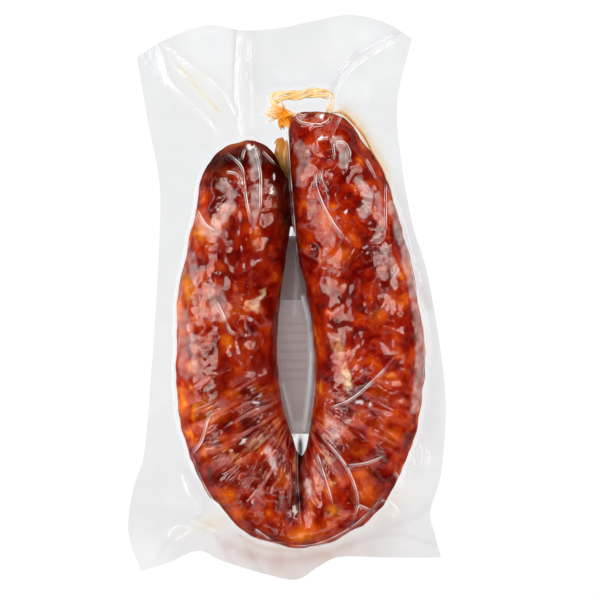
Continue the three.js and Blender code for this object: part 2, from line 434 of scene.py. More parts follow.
def bent(tree, plain, bend, size):
    """Coordinates that are pushed about by noise of this size."""
    push_by = add_node(tree, "ShaderNodeTexNoise", Vector=plain, Scale=1 / size, Detail=3.0)
    centre = add_node(tree, "ShaderNodeVectorMath", {"operation": "SUBTRACT"})
    feed(tree, centre.inputs, (push_by.outputs["Color"], (0.5, 0.5, 0.5)))
    push = add_node(tree, "ShaderNodeVectorMath", {"operation": "MULTIPLY_ADD"})
    feed(tree, push.inputs, (centre.outputs[0], (bend, bend, bend), plain))
    return push.outputs[0]


def mixed(tree, first, amount, second, more=0.0):
    """first times amount, plus second, plus more."""
    scaled = calculate(tree, "MULTIPLY_ADD", first, amount, more)
    return scaled if second is None else calculate(tree, "ADD", scaled, second)


def mix_colours(tree, share, first, second, kind="MIX"):
    """A share of the second colour over the first, or multiplied with it."""
    made = add_node(tree, "ShaderNodeMix", {"data_type": "RGBA", "blend_type": kind}, Factor=share)
    feed(tree, made.inputs[6:8], (first, second))
    return made.outputs[2]


def painted(tree, name):
    """The colour, and the fourth value, that are painted on the mesh under this name."""
    made = add_node(tree, "ShaderNodeVertexColor", {"layer_name": name})
    return made.outputs["Color"], made.outputs["Alpha"]


def wrinkle_lines(tree):
    """Fine ridges across the bend, and how strong they are at each place."""
    measures, strength = painted(tree, "bend")
    across = add_node(tree, "ShaderNodeMapping", Vector=measures, Scale=(0.46, 0.10, 0.0))
    wave = cloud(tree, across.outputs[0], 1.0, 1.8, 0.5, 0.6)
    ridge = add_node(tree, "ShaderNodeMapRange", {"interpolation_type": "SMOOTHSTEP"}, Value=wave,
                     From_Min=0.36, From_Max=0.64)
    return ridge.outputs[0], strength


def matt_surface(tree, output, colour, height, bump_strength, depth, roughness, **inputs):
    """The output gets a Principled shader of this colour, with a bump this deep in millimetres."""
    bump = add_node(tree, "ShaderNodeBump", Strength=bump_strength, Distance=depth * MM, Height=height)
    skin = add_node(tree, "ShaderNodeBsdfPrincipled", Base_Color=colour, Normal=bump.outputs[0],
                    Roughness=roughness, **inputs)
    tree.links.new(skin.outputs[0], output.inputs["Surface"])


# %% Cured meat
MEAT = [
    (0.18, (0.112, 0.0010, 0.0002)),
    (0.36, (0.232, 0.0042, 0.0004)),
    (0.53, (0.345, 0.0160, 0.0007)),
    (0.69, (0.465, 0.0420, 0.0013)),
    (0.85, (0.640, 0.1250, 0.0040)),
    (1.00, (0.720, 0.2600, 0.0200)),
]
SHADE_IN_A_WRINKLE = (0.30, 0.14, 0.14, 1)

meat, tree, output = new_material("cured_meat")
plain = millimetres(tree)
ragged = bent(tree, plain, 5.0, 4.5)
cells = add_node(tree, "ShaderNodeTexVoronoi", {"feature": "SMOOTH_F1"}, Vector=ragged, Scale=0.20,
                 Smoothness=1.0)
pick = add_node(tree, "ShaderNodeSeparateColor", Color=cells.outputs["Color"])
drift = cloud(tree, plain, 0.05, 1.0)
lean = cloud(tree, plain, 0.21, 1.5, 0.5, 0.6)
grain = cloud(tree, ragged, 0.7, 3.0, 0.6)
shade = mixed(tree, pick.outputs[0], 0.50, None, 0.26)
shade = mixed(tree, lean, 1.0, shade, -0.49)
shade = mixed(tree, drift, 0.5, shade, -0.25)
shade = mixed(tree, grain, 0.40, shade, -0.20)
fat_colour, fat_share = painted(tree, "fat")
colour = mix_colours(tree, fat_share, ramp(tree, shade, MEAT), fat_colour)
colour = mix_colours(tree, 1.0, colour, painted(tree, "dark")[0], "MULTIPLY")
# The valleys between the wrinkles across the bend get painted shade, and sink in the bump.
ridges, bent_here = wrinkle_lines(tree)
valleys = calculate(tree, "MULTIPLY", mixed(tree, ridges, -1.0, None, 1.0), bent_here)
colour = mix_colours(tree, valleys, colour, SHADE_IN_A_WRINKLE, "MULTIPLY")
height = mixed(tree, valleys, -1.5, grain)
matt_surface(tree, output, colour, height, 0.25, 0.3, 0.5, Specular_IOR_Level=0.0,
             Subsurface_Weight=0.15, Subsurface_Radius=(1.0, 0.25, 0.1), Subsurface_Scale=1.5 * MM)
sausage.data.materials.append(meat)
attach(sausage, "root")
print("cured meat", len(tree.nodes), "nodes")

# %% [markdown]
# Over that pattern lie a few broad fields: the left leg's nearly black end, painted shade down
# its inner side and in the crease, painted light along both outer flanks, and the larger pieces of
# fat that lie under the casing.

# %% Darker places, painted shade and light, and large pieces of fat
CREAM = (0.62, 0.42, 0.20)
STAINED = (0.58, 0.28, 0.11)
ORANGE = (0.74, 0.125, 0.005)
YELLOW = (0.86, 0.26, 0.012)
# Each spot is its middle, half width, half height, angle and colour, in millimetres on the plan.
FAT_SPOTS = [
    ((-4.2, 34.6), 1, 1.4, 0, CREAM), ((-3.9, 30.8), 1, 1, 0, CREAM),
    ((-10.4, -3), 1.2, 1.9, 0.3, CREAM), ((-8.2, 1.2), 1, 1.8, -0.3, CREAM),
    ((17.4, -17.5), 1.5, 4.2, 0.25, STAINED), ((20, -27), 1.6, 4.4, 0.2, CREAM),
    ((-10, -48.6), 1.4, 4, -0.9, STAINED), ((13.8, -54.5), 1, 3.2, 0.35, STAINED),
]
SOFT_SPOTS = [
    ((4.6, -80.6), 3.4, 1.8, 0, YELLOW), ((7, -78.6), 4.5, 2.6, 0, ORANGE),
    ((15.5, -71.6), 2.2, 1.8, 0, YELLOW), ((26.5, -65.4), 3.8, 3, 0.4, ORANGE),
    ((35, -46.9), 2.8, 2.4, 0, ORANGE), ((24.8, -58.8), 3.2, 2, 0.3, ORANGE),
    ((-20.3, -67.3), 3, 3.4, -0.6, ORANGE), ((-16.4, -72.6), 2.4, 2.6, -0.6, ORANGE),
    ((-35.5, -36.7), 2.2, 4.4, 0, ORANGE), ((-23.6, -39.3), 3.4, 2.6, 0.3, ORANGE),
    ((-28.8, 21.6), 2.6, 3, 0.3, YELLOW), ((-33, 3), 2, 4.6, 0.2, YELLOW),
    ((-36, -4), 1.8, 4, 0, ORANGE), ((-22.4, 25), 2.8, 2.2, 0.3, ORANGE),
    ((-21.1, 42.3), 1.6, 2.4, 0.6, ORANGE), ((31, -6), 2.8, 2.2, 0.4, ORANGE),
    ((17.5, 14), 3.6, 2.6, 0.2, ORANGE), ((-9.5, 18), 2.2, 2.6, 0, ORANGE),
]
# Each flank is a line where painted light makes the meat lighter, its half width and by how much.
LIT_FLANKS = [
    ([(-30.5, 32), (-34.5, 14), (-37.5, -6), (-37, -28), (-33, -50)], 5, 0.38),
    ([(34, 34), (39, 16), (43, -4), (43.5, -28), (37, -52)], 5, 0.22),
]
# Each shade is x, y, half width, half height, angle and how much darker it is there. Those near
# the left leg's inner side are painted shade; the rest darken both ends and both legs.
SHADES = [
    (-2.4, 44, 5, 13, 0, 0.92), (-0.3, 26, 3.8, 20, 0.1, 0.9), (-17, 47, 10, 5.5, 0.3, 0.75),
    (9, 61.4, 6, 1.8, 0, 0.6), (-24.5, 41, 3.4, 7, 0, 0.65), (-25, 46.5, 3.5, 3.5, 0.5, 0.7),
    (-18.5, 45, 5, 3, 0.3, 0.45), (-2.6, -2, 2, 14, -0.1, 0.45), (-9, 44, 3, 9, 0, 0.55),
    (-18, -5, 16, 60, 0, 0.27), (22, 6, 17, 42, 0, 0.15),
]
plan = coordinates(sausage.data)[:, :2] / MM
# Painted shade in the crease, then the shades, then painted light along the flanks.
dark = 1 - 0.85 * beside(plan, CREASE, 0.55)
for x, y, wide, high, angle, share in SHADES:
    dark *= 1 - share * spot(plan, (x, y), wide, high, angle)
for flank, reach, share in LIT_FLANKS:
    dark *= 1 + share * beside(plan, flank, reach)
fat = np.zeros((len(plan), 3))
amount = np.zeros(len(plan))
rough = swirled(plan, 1.8, 95, 0.9)
ragged = np.clip(0.8 + 0.8 * noise(swirled(plan, 3, 91, 1.0), 1.2, 93), 0, 1)
streaked = np.clip(0.9 + 0.6 * noise(swirled(plan, 4, 97, 1.5), 2.6, 99), 0.2, 1)
spots = [(spot(rough, *at), colour, 2.4 * ragged, 0.35) for *at, colour in FAT_SPOTS]
spots += [(spot(plan, *at), colour, 0.95 * streaked, 0.05) for *at, colour in SOFT_SPOTS]
for field, colour, rise, floor_level in spots:
    share = np.clip(rise * field - floor_level, 0, 1)
    fat += (1 - amount)[:, None] * share[:, None] * np.array(colour)
    amount += (1 - amount) * share
fat /= np.maximum(amount, 1e-6)[:, None]


def paint(mesh, name, colour, alpha):
    """Paints a colour and a fourth value on the mesh's points."""
    layer = mesh.color_attributes.new(name, "FLOAT_COLOR", "POINT")
    layer.data.foreach_set("color", np.column_stack([colour, alpha]).ravel())


across, out, window = fan_frame(plan)
paint(sausage.data, "bend", np.column_stack([across, out, 0 * out]), window)
paint(sausage.data, "fat", fat, 0.85 * amount)
paint(sausage.data, "dark", np.column_stack([dark, dark**1.5, dark**1.5]), np.ones(len(plan)))

# %% [markdown]
# One piece of twine ties the two ends. It is two plies twisted together, so each ply is a thin
# round curve that winds round the run's line, and the frayed ends are loose fibres. All of them
# are one curve object with a round bevel, turned into a mesh.

# %% Twine
# Each run of twine is a line of x, y and z, in millimetres.
TWINE_LOOP = [
    (0.6, 60.6, 12), (-3.6, 64.2, 11.4), (-5.2, 67.6, 11), (-3.4, 69.2, 11), (4, 69.5, 11),
    (10.4, 70.4, 11.2), (15, 69, 11.2), (15.2, 66, 11.2), (13.6, 62.6, 11.6),
]
TWINE_BACK = [
    (-2, 62.4, 11.4), (-4, 65.8, 11), (-1.6, 67.6, 11), (4, 68, 11), (9.9, 68.8, 11), (14.2, 67.8, 11),
]
TWINE_SIDE = [
    (13.6, 62.8, 11.4), (19, 62.6, 10.8), (24.4, 57.2, 10.6), (27.2, 53.2, 10.4), (28.8, 49.6, 10.2),
    (30.8, 46.2, 10), (32.8, 42.4, 9.8), (33.8, 38.6, 9.6),
]
TWINE_TIE = [
    (-2.6, 53.4, 11), (-1.4, 51.8, 11), (-1, 47, 10.8), (-1.2, 40, 10.6), (-1, 34, 10.4),
]
TWINE_TISSUE = [
    (-4, 52, 10.6), (-3, 52.8, 10.6), (-2.4, 49, 10.4), (-2.2, 42, 10.4),
]
TWINE_WRAP = [
    (-1.5, 57, 10.5), (-2.4, 59.6, 12.5), (-0.6, 61.6, 14.6), (3.2, 61.8, 17),
]
PLY_RADIUS = 0.52
TWIST_PITCH = 12.0

curve = bpy.data.curves.new("twine", "CURVE")
curve.dimensions = "3D"
curve.bevel_depth = PLY_RADIUS * MM
curve.bevel_resolution = 2
curve.use_fill_caps = True


def select_only(piece):
    """Makes this piece the only one that is selected, and the active one."""
    bpy.ops.object.select_all(action="DESELECT")
    piece.select_set(True)
    bpy.context.view_layer.objects.active = piece


def thread(points, widths):
    """A round thread through the points in millimetres, with a share of the full width at each."""
    spline = curve.splines.new("POLY")
    spline.points.add(len(points) - 1)
    spline.points.foreach_set("co", np.column_stack([points * MM, np.ones(len(points))]).ravel())
    spline.points.foreach_set("radius", widths)


def twisted(points, plies=2):
    """Plies that wind round a line."""
    _, length = even_line(points, 3)
    count = int(length / 0.45)
    line, _ = even_line(points, count)
    way = np.gradient(line, axis=0)
    way /= np.linalg.norm(way, axis=1)[:, None]
    side = np.cross(way, (0, 0, 1))
    side /= np.linalg.norm(side, axis=1)[:, None]
    over = np.cross(side, way)
    turn = np.linspace(0, 2 * np.pi * length / TWIST_PITCH, count)
    taper = np.clip(np.minimum(np.arange(count), np.arange(count)[::-1]) / 3, 0.4, 1)
    for ply in range(plies):
        angle = (turn + 2 * np.pi * ply / plies)[:, None]
        centre = line + 0.9 * PLY_RADIUS * (np.cos(angle) * side + np.sin(angle) * over)
        thread(centre, taper)


for run in (TWINE_LOOP, TWINE_BACK, TWINE_TIE, TWINE_TISSUE, TWINE_WRAP):
    twisted(run)
side_run, _ = even_line(TWINE_SIDE, 60)
thread(side_run, np.linspace(1.0, 0.5, 60))
random = np.random.default_rng(8)
# Each tuft is its first and last point, how far its fibres spread and how many there are.
TUFTS = [
    ((0.5, 60.5, 12.6), (-3.6, 64.5, 11.6), 2.4, 40), ((1.4, 58, 15), (-2, 62, 12.4), 1.8, 40),
    ((-2.8, 63.4, 11), (-5.6, 62.6, 10.6), 2.4, 26), ((-2.4, 53, 11.4), (-1.4, 41, 10.8), 2, 60),
    ((-0.6, 52, 11.4), (-0.8, 38, 10.8), 1.2, 40),
]
for start, end, spread, count in TUFTS:
    for _ in range(count):
        first = np.array(start) + random.normal(0, 0.5, 3) * (1, 1, 0.5)
        last = np.array(end) + random.normal(0, 0.55 * spread, 3) * (1, 1, 0.3)
        bend = (first + last) / 2 + random.normal(0, 0.9, 3) * (1, 1, 0.4)
        fibre, _ = even_line([first, bend, last], 9)
        thread(fibre, np.linspace(0.8, 0.25, 9) * random.uniform(0.6, 1.0))
twine = bpy.data.objects.new("twine", curve)
bpy.context.scene.collection.objects.link(twine)
select_only(twine)
bpy.ops.object.convert(target="MESH")
twine = bpy.context.object
bpy.ops.object.shade_smooth()
print("twine", len(twine.data.polygons), "faces")

# %% Stains on the twine, and painted shade on the tie
SOAKED = (0.92, 0.48, 0.035)
TANNED = (0.72, 0.42, 0.14)
SHADED = (0.45, 0.40, 0.40)

plan = coordinates(twine.data)[:, :2] / MM
soaked = np.clip(1.4 * spot(plan, (-1.0, 60.5), 3.4, 4.0), 0, 1)
dried = 0.6 * spot(plan, (-6.6, 63.5), 2.8, 5.0) + smooth_step(12, 15, plan[:, 0])
tanned = ((plan[:, 1] < 54.5) & (plan[:, 0] < 4)).astype(float)
# The tie lower down, beside the left leg's inner side, is darkened with painted shade.
shaded = tanned * smooth_step(-50, -43, -plan[:, 1])
colour = np.ones((len(plan), 3))
for share, tone in ((soaked, SOAKED), (tanned, TANNED), (shaded, SHADED)):
    colour *= 1 - share[:, None] * (1 - np.array(tone))
paint(twine.data, "stain", colour, 0.8 * np.clip(dried, 0, 1))

# %% Yarn
YARN = [
    (0.15, (0.82, 0.44, 0.11)), (0.42, (0.88, 0.58, 0.22)),
    (0.66, (0.92, 0.72, 0.40)), (0.92, (0.93, 0.82, 0.60)),
]
DRY_YARN = (0.92, 0.79, 0.56, 1)

yarn, tree, output = new_material("twine")
plain = millimetres(tree)
fibres = cloud(tree, bent(tree, plain, 1.5, 2.0), 1.6, 3.0, 0.7)
shade = mixed(tree, cloud(tree, plain, 0.16, 2.0), 1.6, None, -0.30)
shade = mixed(tree, fibres, 0.7, shade, -0.35)
stain, dry_here = painted(tree, "stain")
colour = mix_colours(tree, dry_here, ramp(tree, shade, YARN), DRY_YARN)
colour = mix_colours(tree, 1.0, colour, stain, "MULTIPLY")
matt_surface(tree, output, colour, fibres, 0.5, 0.2, 0.7, Specular_IOR_Level=0.15)
twine.data.materials.append(yarn)
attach(twine, "root")
print("yarn", len(tree.nodes), "nodes")

# %% [markdown]
# The bag is two sheets of film, welded where they meet. Pulled down by the vacuum, the front
# sheet lies on the sausage, stands off it a little in the hollows, and drops between the legs to
# the label. A fine grid is the front sheet. Each of its points is given the height of what lies
# under it, and is then relaxed like a taut skin that can't pass through the meat.

# %% The bag's outline
LEFT_EDGE = [
    (-49.6, -93.2), (-53.4, -83), (-54, -75), (-52, -63.9), (-48.6, -52.4), (-46.2, -24), (-44.8, -5),
    (-43.4, 22), (-43.6, 40), (-47.2, 58.5), (-51.3, 82),
]
RIGHT_EDGE = [
    (52.4, -88.7), (50.4, -80.9), (48.8, -73.1), (52.4, -60.5), (54, -40), (52.7, -21.4), (47.9, 7.5),
    (43, 24), (39.4, 43), (37.5, 66), (42.5, 88.1),
]
BOTTOM_EDGE = [
    (-49.6, -93.2), (-40.5, -90.4), (-30.3, -86.5), (-22, -90), (-8, -94.2), (3, -96.2), (10.5, -92),
    (18, -88.6), (34, -88.8), (52.4, -88.7),
]
TOP_EDGE = [
    (-51.3, 82), (-40.5, 88.2), (-27, 92.6), (-15, 90.8), (-2, 91.8), (9, 94.2), (21.4, 96.2),
    (33, 93.6), (42.5, 88.1),
]


def bag_plan(u, v):
    """Where the bag's point u across and v up lies, both from 0 to 1, with its wavy edges."""
    left, right = smooth_line(LEFT_EDGE, v), smooth_line(RIGHT_EDGE, v)
    low, high = smooth_line(BOTTOM_EDGE, u), smooth_line(TOP_EDGE, u)
    u, v = u[:, None], v[:, None]
    corners = [np.array(edge[end]) for edge in (BOTTOM_EDGE, TOP_EDGE) for end in (0, -1)]
    straight = (1 - v) * ((1 - u) * corners[0] + u * corners[1])
    straight = straight + v * ((1 - u) * corners[2] + u * corners[3])
    return (1 - u) * left + u * right + (1 - v) * low + v * high - straight


# %% The film's folds
# Each fold of the film is its line on the pack, its height and its half width, in millimetres.
FOLDS_ON_RIM = [
    ([(-16.3, 91.8), (-16.7, 84), (-17.3, 73.8), (-17.3, 68), (-15.6, 57.8), (-13.9, 50)], 0.42, 1.2),
    ([(-12.9, 91.5), (-12.6, 80.6), (-11.9, 68.7), (-11.6, 57.8), (-11.9, 51.3)], 0.22, 0.8),
    ([(-14.6, 91.5), (-14.6, 80.6), (-15, 68.7), (-13.6, 57.8)], 0.12, 0.7),
    ([(-43.2, 86.4), (-38.1, 83.3), (-32.3, 78.2), (-24.5, 72.4), (-18.7, 65.6),
      (-15.6, 57.5)], 0.5, 1.3),
    ([(-43.2, 85.7), (-40.5, 74.8), (-34.7, 68), (-25.5, 59.2), (-20.1, 52.7)], 0.35, 1.2),
    ([(-36.4, 78.2), (-30.3, 71.1), (-23.5, 63.6)], 0.15, 0.6),
    ([(39.1, 88.4), (33.3, 85), (27.5, 81.6), (20.7, 76.2), (17.3, 70.4), (15.2, 63),
      (14.2, 53)], 1.2, 1.2),
    ([(37.7, 89.8), (28.9, 85.7), (22.1, 81.3), (17, 74.8), (15.3, 69.4)], 0.6, 1.5),
    ([(19.7, 73.8), (22.1, 68.7), (21.4, 64.3)], 0.15, 0.8),
    ([(24.8, 74.5), (27.5, 69.7), (26.9, 62.9)], 0.15, 0.8),
    ([(-40.5, -83), (-39.1, -79.2), (-35.7, -77.9), (-33, -79.2)], 0.6, 0.7),
    ([(-38.1, -83), (-34.3, -80.6), (-31.3, -78.5)], 0.5, 0.7),
    ([(-33.7, -75.8), (-27.9, -78.2), (-21.4, -80.6)], 0.35, 1),
    ([(-32, -72.8), (-25.5, -76.2), (-20.1, -79.2)], 0.25, 0.8),
    ([(-35.7, -59.5), (-33.7, -65.6), (-30.6, -71.1), (-26.2, -75.1)], 0.25, 1),
    ([(44.5, -49.6), (45.9, -53.7), (45.2, -58.8)], 0.6, 0.7),
    ([(47.3, -51), (48.6, -54.7), (47.6, -58.8)], 0.6, 0.7),
    ([(41.8, -52.7), (43.2, -57.5), (41.5, -61.5)], 0.6, 0.7),
    ([(35.7, -58.1), (38.4, -61.9), (40.5, -66.3)], 0.7, 0.8),
    ([(30.3, -68), (35, -70), (39.1, -74.8)], 0.7, 0.9), ([(32.6, -73.1), (37.1, -75.5)], 0.5, 0.7),
    ([(-17.3, -85), (-18.7, -89.4), (-16, -93.2)], 0.12, 0.9),
    ([(-8.5, -87.7), (-9.9, -92.5)], 0.08, 0.8), ([(14.6, -86.4), (18, -90.4)], 0.15, 0.9),
    ([(-21.1, -82.6), (-24.8, -86.7), (-29.9, -89.8)], 0.12, 1),
]
FOLDS_ON_SAUSAGE = [
    ([(10.2, 43), (9.6, 38.5), (11.9, 31.3), (16.3, 23.5), (21.8, 16.7)], 0.9, 0.9),
    ([(3.4, 62.6), (5.2, 61.2), (7.2, 61.9)], 0.7, 0.5),
    ([(9.4, 60.4), (11.2, 61.6), (12.6, 60)], 0.9, 0.5),
    ([(-12.6, 52.4), (-14.3, 49.1), (-15.1, 45.7)], 0.8, 0.7),
    ([(-11.3, 50.4), (-9.8, 46.6), (-8.8, 41.5), (-8.6, 34.7), (-9, 27.5)], 0.8, 0.6),
    ([(-32.3, -53), (-28.9, -61.8), (-24.5, -69.4), (-19.4, -76), (-14.6, -80.5), (-8.5, -83.4),
      (0.7, -84.2)], 0.55, 0.6),
    ([(0.7, -84.2), (10.5, -83.2), (21, -78), (29.5, -70.5), (34, -64)], 0.5, 0.6),
    ([(0, 60.2), (0.7, 46.6), (1.7, 33), (3.1, 16), (4.4, -1)], 0.6, 0.8),
    ([(19, 62.6), (14.6, 53)], 0.8, 0.7),
    ([(2.2, 61.8), (4.4, 59.2), (8.8, 58.2), (12.4, 58.4), (14.6, 60.4), (15.6, 63)], 1, 0.7),
    ([(7.4, 56.4), (9.2, 57.6), (12.8, 58)], 0.8, 0.6),
    ([(9.4, 52.4), (12.6, 53.4), (15, 52.6), (15.8, 48.6), (15.4, 44)], 0.9, 0.7),
    ([(15.9, 52), (19.4, 51.8), (21.2, 48), (19.6, 46)], 0.7, 0.6),
    ([(12, 43), (11.6, 39.6), (14, 34.6)], 0.6, 0.6), ([(26.5, 46.6), (30.6, 38.8)], 0.8, 0.8),
    ([(33.3, 39.1), (37.4, 31.3), (39.1, 22.8), (41.6, 13.4), (43.7, 3.2), (46.2, -7.8), (46.7, -19.7),
      (45.9, -32.5), (44.6, -41)], 0.7, 0.6),
    ([(33.3, 39.1), (33, 23.5), (31.3, 18.4), (26.5, 18.4)], 0.5, 0.8),
    ([(13.9, -37.4), (21.1, -34.3), (26.9, -29.6), (31.3, -25.5), (36.4, -19.7)], 0.6, 0.8),
    ([(-23.5, -38.1), (-26.2, -40.5), (-28.6, -48.3), (-33, -54.1)], 0.6, 0.7),
    ([(12.6, -47.6), (20.1, -57.1), (23.8, -68.3), (21.1, -77.9)], 0.8, 0.7),
    ([(20.1, -56.4), (26.9, -55.4), (33.7, -52.7)], 0.5, 0.8),
    ([(23.8, -69.4), (30.3, -72.8)], 0.6, 0.7), ([(9.9, -52), (12.6, -60.2), (15.6, -70)], 0.6, 0.7),
    ([(-10.9, -77.9), (-4.8, -82.3)], 0.6, 0.7),
    ([(-21.1, -75.1), (-12.2, -81.9), (0.7, -83)], 0.5, 0.8),
    ([(3.4, -48.6), (3.4, -60.5), (4.1, -70.7), (4.4, -79.2)], 0.3, 0.7),
    ([(-23.8, -0.7), (-21.4, -5.8), (-18.7, -11.6), (-15.6, -12.2)], 0.8, 0.7),
    ([(-20.7, 49), (-15.3, 43.9), (-14.3, 38.4), (-12.9, 29.6), (-9.9, 20.1)], 0.9, 0.8),
    ([(-20.4, 42.2), (-16.3, 40.8), (-14.6, 36)], 0.7, 0.8),
    ([(-30.3, 29.6), (-27.5, 24.5), (-22.8, 21.4)], 0.7, 0.8), ([(-8.2, 49.3), (-3.7, 44.5)], 0.5, 0.7),
]
# Broad swells of the flat film, as a line, a height and a half width.
SWELLS = [
    (FOLDS_ON_RIM[3][0], 0.35, 6), (FOLDS_ON_RIM[6][0], 0.35, 8),
    ([(-50.5, -89.5), (-42, -78), (-33, -68)], 0.8, 8), ([(51.5, -86.5), (44, -74), (36, -62)], 0.8, 8),
]


# %% Where the welded film lies when nothing is under it
FLANGE_HEIGHT = 9.5
VALLEY_HEIGHT = 1.6
GAP_X = 3.6


def welded_height(plan):
    """The film's height beside the sausage, between its legs and at its wavy rim."""
    x, y = plan[:, 0], plan[:, 1]
    across, along = x / 50, y / 94
    valley = (1 - smooth_step(8, 15, abs(x - GAP_X))) * (1 - smooth_step(37, 48, abs(y + 15)))
    side = np.where(across < 0, np.sin(0.055 * y + 0.4), np.sin(0.048 * y + 2.9))
    end = np.where(along < 0, np.sin(0.13 * x + 1.4), np.sin(0.105 * x + 4.0))
    swell = np.zeros(len(plan))
    for line, height, reach in SWELLS:
        away, _ = distance_to(line, plan, 3 * reach)
        swell = np.maximum(swell, height * np.exp(-((away / reach) ** 2)))
    swell = swell + 0.25 * noise(plan, 17, 31) * (1 - valley)
    level = FLANGE_HEIGHT + (VALLEY_HEIGHT - FLANGE_HEIGHT) * valley
    return level + 0.9 * across**4 * side + 0.9 * abs(along) ** 5 * end + swell


# %% The front sheet's grid, finer over the sausage
COLUMNS = 204
ROWS = 362
FINE_U = ([0, 0.03, 0.97, 1], [0, 0.07, 0.955, 1])
FINE_V = ([0, 0.045, 0.92, 1], [0, 0.055, 0.88, 1])


def film_grid(name, columns, rows):
    """A grid whose points are put in rows and columns over the bag's outline."""
    bpy.ops.mesh.primitive_grid_add(x_subdivisions=columns, y_subdivisions=rows, size=1)
    sheet = bpy.context.object
    sheet.name = name
    flat = coordinates(sheet.data)
    column = np.rint((flat[:, 0] + 0.5) * columns).astype(int)
    row = np.rint((flat[:, 1] + 0.5) * rows).astype(int)
    u = np.interp(column / columns, *FINE_U)
    v = np.interp(row / rows, *FINE_V)
    return sheet, row, column, bag_plan(u, v)


front, row, column, plan = film_grid("film", COLUMNS, ROWS)
print("front sheet", len(plan), "points")

# %% What lies under each point of the front sheet
CLEARANCE = 0.3


def tree_of(pieces, swell):
    """The pieces' surfaces, swollen by a clearance, ready to be hit by rays."""
    vertices, faces = [], []
    for piece in pieces:
        mesh = piece.data
        start = len(vertices)
        vertices += [v.co + v.normal * swell for v in mesh.vertices]
        faces += [[start + i for i in f.vertices] for f in mesh.polygons]
    return BVHTree.FromPolygons(vertices, faces)


def heights_over(tree, plan, from_above=True):
    """The height in millimetres of what a ray down, or up, meets at each point of the plan."""
    start, way = (0.06, (0, 0, -1)) if from_above else (-0.01, (0, 0, 1))
    found = np.full(len(plan), np.nan)
    for i, (x, y) in enumerate(plan * MM):
        hit = tree.ray_cast(Vector((x, y, start)), way)[0]
        if hit:
            found[i] = hit.z / MM
    return found


contents = tree_of([sausage, twine], CLEARANCE * MM)
under = heights_over(contents, plan)
print("film over meat:", int(np.isfinite(under).sum()), "points")

# %% Relax the front sheet like a taut skin
SHAPE = (ROWS + 1, COLUMNS + 1)


def as_sheet(values, row, column, shape=SHAPE):
    """The points' values in the grid's rows and columns."""
    sheet = np.empty(shape)
    sheet[row, column] = values
    return sheet


def neighbour_mean(z):
    """The mean of each point's four neighbours."""
    p = np.pad(z, 1, mode="edge")
    return (p[:-2, 1:-1] + p[2:, 1:-1] + p[1:-1, :-2] + p[1:-1, 2:]) / 4


TIGHTNESS = 0.6
ROUNDS = 40


def relax(obstacle, rest, rounds, hold):
    """A skin that rests on the obstacle, and elsewhere is drawn towards its rest height."""
    z = np.fmax(obstacle, rest)
    for _ in range(rounds):
        z = (1 - hold) * neighbour_mean(z) + hold * rest
        z = np.fmax(obstacle, z)
    return z


rest = as_sheet(welded_height(plan), row, column)
obstacle = as_sheet(under, row, column)
skin_height = relax(obstacle, rest, ROUNDS, TIGHTNESS)
skin_height = 0.5 * skin_height + 0.5 * neighbour_mean(skin_height)
skin_height = np.fmax(obstacle, skin_height)
print("film height", round(skin_height.min(), 1), "to", round(skin_height.max(), 1), "mm")

# %% Wrinkles and folds
FOLD_SCALE = 0.6


def ridge(away, half, power=1.4):
    """The profile of a sharp fold: highest on its line and nothing past its half width."""
    return np.clip(1 - away / half, 0, 1) ** power


def folds(plan):
    """How high the folds stand at each point."""
    raised = np.zeros(len(plan))
    for line, height, half in FOLDS_ON_RIM + FOLDS_ON_SAUSAGE:
        away, share = distance_to(line, plan, 3 * half)
        fade = smooth_step(0, 0.12, share) * (1 - smooth_step(0.8, 1, share))
        raised = np.maximum(raised, FOLD_SCALE * height * fade * ridge(away, half))
    return raised


def fan(plan):
    """Wrinkles across the bent leg, which spread like rays from inside the horseshoe."""
    x, y = plan[:, 0] - FAN_CENTRE[0], plan[:, 1] - FAN_CENTRE[1]
    out = np.hypot(x, y)
    rays = np.column_stack([FAN_REACH * np.arctan2(x, -y), 0.3 * out])
    rays = swirled(rays, 6, 41, 1.2)
    raised = 0.42 * noise(rays, 2.6, 5) + 0.28 * noise(rays, 1.5, 7)
    raised += 0.35 * np.clip(1 - abs(noise(rays, 3.2, 9)) / 0.25, 0, 1) ** 1.5
    window = smooth_step(7, 15, out) * smooth_step(18, 34, -plan[:, 1])
    return np.clip(raised + 0.2, 0, None) * window * (0.6 + 0.4 * noise(plan, 9, 42)), window


def crinkles(plan, size, seed, angle=0.0, stretch=1.0):
    """A net of thin curling ridges, as on film that has shrunk on something soft."""
    n = noise(swirled(plan, 2.5 * size, seed + 50, 0.5 * size), size, seed, angle, stretch)
    here = np.clip(0.2 + 1.2 * noise(plan, 9, seed + 60), 0, 1)
    return np.clip(1 - abs(n) / 0.22, 0, 1) ** 1.3 * here


on_meat = np.isfinite(under)
wrinkled, in_fan = fan(plan)
lumps = 0.34 * noise(swirled(plan, 9, 21, 1.5), 4.0, 11)
lumps += 0.12 * noise(swirled(plan, 4, 27, 0.8), 2.2, 12)
lumps = np.clip(lumps + 0.18, 0, None) * (1 - 0.65 * in_fan)
nets = 0.22 * crinkles(plan, 5.0, 13) + 0.22 * crinkles(plan, 4.0, 17, np.pi / 2, 2.5)
calm = 1 - 0.75 * spot(plan, (-4.5, 38), 4, 14)
raised = folds(plan) + (wrinkled + (lumps + nets * (1 - 0.5 * in_fan)) * calm) * on_meat
raised = raised + (0.05 * noise(plan, 5.0, 19) + 0.12 * noise(plan, 9.0, 20)) * (1 - on_meat)
final = skin_height[row, column] + raised
set_coordinates(front.data, np.column_stack([plan, final]) * MM)
print("folds up to", round(raised.max(), 2), "mm")

